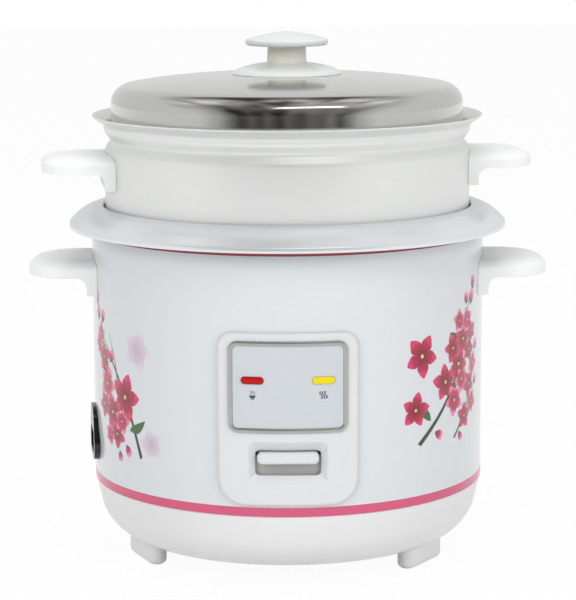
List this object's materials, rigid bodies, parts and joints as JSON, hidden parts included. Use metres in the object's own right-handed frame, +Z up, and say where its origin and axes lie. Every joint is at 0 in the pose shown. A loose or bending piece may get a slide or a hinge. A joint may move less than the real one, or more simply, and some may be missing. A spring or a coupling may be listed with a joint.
{
  "type": "rice cooker with steamer tray",
  "caption": "Round electric rice cooker with a lift-off lid, a steamer tray with side handles, an inner pot and a press-down cook switch that trips on a magnetic thermostat.",
  "frame": {"origin": "on the axis of the body, level with the undersides of the feet", "axes": "+Z up along the body's axis, -Y out of the control panel, +X to the viewer's right when facing the panel"},
  "size_m": [0.3306, 0.279, 0.3336],
  "materials": {
    "shell_enamel": "gloss enamel with printed blossom sprays",
    "base_plastic": "satin white moulding",
    "galvanised_sheet": "galvanised sheet",
    "cast_aluminium": "as cast, turned top",
    "brass_blades": "bright",
    "pot_aluminium": "satin",
    "steamer_aluminium": "satin",
    "handle_plastic": "satin white moulding",
    "lid_steel": "polished",
    "knob_plastic": "gloss white moulding",
    "panel_plastic": "satin white moulding",
    "bezel_silver": "silver grey",
    "label_film": "printed film",
    "red_lens": "moulded lens",
    "yellow_lens": "moulded lens",
    "lamp_glass": "clear",
    "lever_paint": "pale paint on steel sheet",
    "pin_steel": "bright wire",
    "black_plastic": "moulded",
    "sensor_aluminium": "turned",
    "magnet_ferrite": "sintered",
    "terminal_plastic": "moulded"
  },
  "bodies": {
    "cooker": {"outer_shell": "shell_enamel", "base_cover": "base_plastic", "foot_left": "base_plastic", "foot_right": "base_plastic", "foot_rear": "base_plastic", "inner_liner": "galvanised_sheet", "heater_plate": "cast_aluminium", "heater_blades": "brass_blades", "tie_posts": "galvanised_sheet", "handle_left": "handle_plastic", "handle_right": "handle_plastic", "control_panel": "panel_plastic", "panel_bezel": "bezel_silver", "panel_label": "label_film", "cook_lens": "red_lens", "warm_lens": "yellow_lens", "cook_lamp": "lamp_glass", "warm_lamp": "lamp_glass", "lamp_strip": "galvanised_sheet", "lever_pin": "pin_steel", "lever_bracket": "galvanised_sheet", "micro_switch": "black_plastic", "thermostat_strap": "galvanised_sheet", "sensor_spring": "pin_steel", "power_inlet": "black_plastic", "inlet_pins": "brass_blades", "terminal_block": "terminal_plastic", "thermal_fuse": "black_plastic", "warm_thermostat": "galvanised_sheet"},
    "pot": {"inner_pot": "pot_aluminium"},
    "steamer": {"steamer_tray": "steamer_aluminium", "steamer_handle_left": "handle_plastic", "steamer_handle_right": "handle_plastic"},
    "lid": {"lid_dome": "lid_steel", "knob_collar": "knob_plastic", "lid_knob": "knob_plastic"},
    "lever": {"switch_lever": "lever_paint", "switch_knob": "panel_plastic"},
    "magnet_carrier": {"magnet": "magnet_ferrite", "pull_rod": "pin_steel"},
    "sensor": {"sensor_cap": "sensor_aluminium"}
  },
  "joints": [
    {"name": "pot_lift", "type": "slide", "parent": "cooker", "child": "pot", "axis": [0, 0, 1], "range_m": [0, 0.15]},
    {"name": "steamer_lift", "type": "slide", "parent": "pot", "child": "steamer", "axis": [0, 0, 1], "range_m": [0, 0.12]},
    {"name": "lid_lift", "type": "slide", "parent": "steamer", "child": "lid", "axis": [0, 0, 1], "range_m": [0, 0.1]},
    {"name": "switch_press", "type": "hinge", "parent": "cooker", "child": "lever", "pos_m": [0, -0.06, 0.06], "axis": [1, 0, 0], "range_deg": [0, 5.6], "stiffness_Nm_per_rad": 0.25, "springref_deg": -34.38},
    {"name": "magnet_rise", "type": "slide", "parent": "cooker", "child": "magnet_carrier", "axis": [0, 0, 1], "range_m": [0, 0.006], "stiffness_N_per_m": 1, "springref_m": 0.108},
    {"name": "sensor_press", "type": "slide", "parent": "cooker", "child": "sensor", "axis": [0, 0, 1], "range_m": [-0.0015, 0], "stiffness_N_per_m": 300, "springref_m": 0.004, "deforming": ["sensor_spring"]}
  ],
  "couplings": [
    {"joint": "magnet_rise", "follows": "switch_press", "m_per_rad": 0.06}
  ]
}
